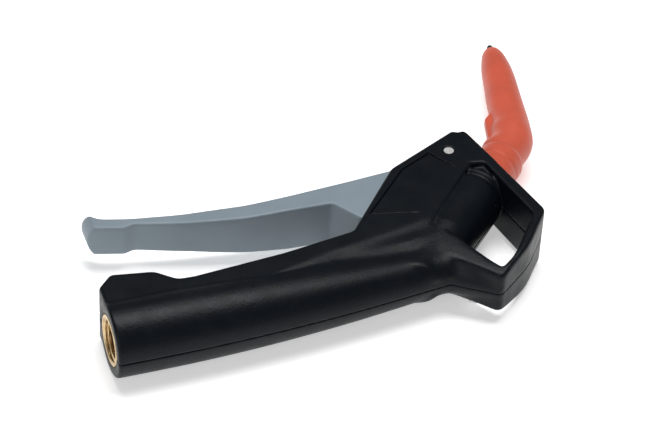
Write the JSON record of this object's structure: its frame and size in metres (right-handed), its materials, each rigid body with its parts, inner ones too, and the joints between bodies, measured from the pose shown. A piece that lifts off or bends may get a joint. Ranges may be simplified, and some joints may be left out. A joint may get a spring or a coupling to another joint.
{
  "type": "hand valve gun",
  "caption": "Hose-fed pistol-style hand valve: round two-shell handle with threaded brass inlet, long squeeze lever, hanging window in the head and a bent rubber-sleeved nozzle.",
  "frame": {"origin": "centre of the inlet's mouth, on the handle's axis", "axes": "the gun lies on its right side: +X from the inlet along the handle to the head, +Y to the lever side, +Z is the gun's left side; z = 0 is the parting plane of the two shells"},
  "size_m": [0.207, 0.1495, 0.029],
  "materials": {
    "shell": "matte black glass-filled nylon with a fine moulded grain",
    "lever": "satin blue-grey moulded plastic",
    "sleeve": "orange-red moulded rubber, slightly satin",
    "brass": "turned brass, thread cut bright",
    "steel": "ground stainless steel",
    "seal": "black nitrile rubber",
    "tube": "black acetal tube",
    "white": "white acetal"
  },
  "bodies": {
    "handle": {"left_shell": "shell", "right_shell": "shell", "housing_screws": "steel", "inlet_insert": "brass", "inlet_socket": "brass", "inlet_seal": "seal", "filter_screen": "steel", "inlet_washer": "seal", "feed_tube": "brass", "valve_body": "brass", "tube_oring": "seal", "valve_seat": "white", "gland_nut": "brass", "stem_oring": "seal", "spring_cap": "brass", "cap_oring": "seal", "valve_spring": "steel", "nozzle_tube": "tube", "nozzle_tip": "tube", "nozzle_nut": "brass", "nozzle_oring": "seal", "nozzle_sleeve": "sleeve", "pivot_pin": "steel"},
    "lever": {"lever": "lever", "lever_bush": "white"},
    "stem": {"push_pin": "steel", "poppet": "brass", "poppet_seal": "seal", "poppet_nut": "steel"}
  },
  "joints": [
    {"name": "lever_squeeze", "type": "hinge", "parent": "handle", "child": "lever", "pos_m": [0.15548, 0.05692, 0], "axis": [0, 0, 1], "range_deg": [0, 13], "stiffness_Nm_per_rad": 2, "springref_deg": -8.59},
    {"name": "stem_press", "type": "slide", "parent": "handle", "child": "stem", "axis": [0.7071, -0.7071, 0], "range_m": [0, 0.0035], "stiffness_N_per_m": 1200, "springref_m": -0.002, "deforming": ["valve_spring"]}
  ],
  "couplings": [
    {"joint": "stem_press", "follows": "lever_squeeze", "m_per_rad": 0.0148}
  ]
}
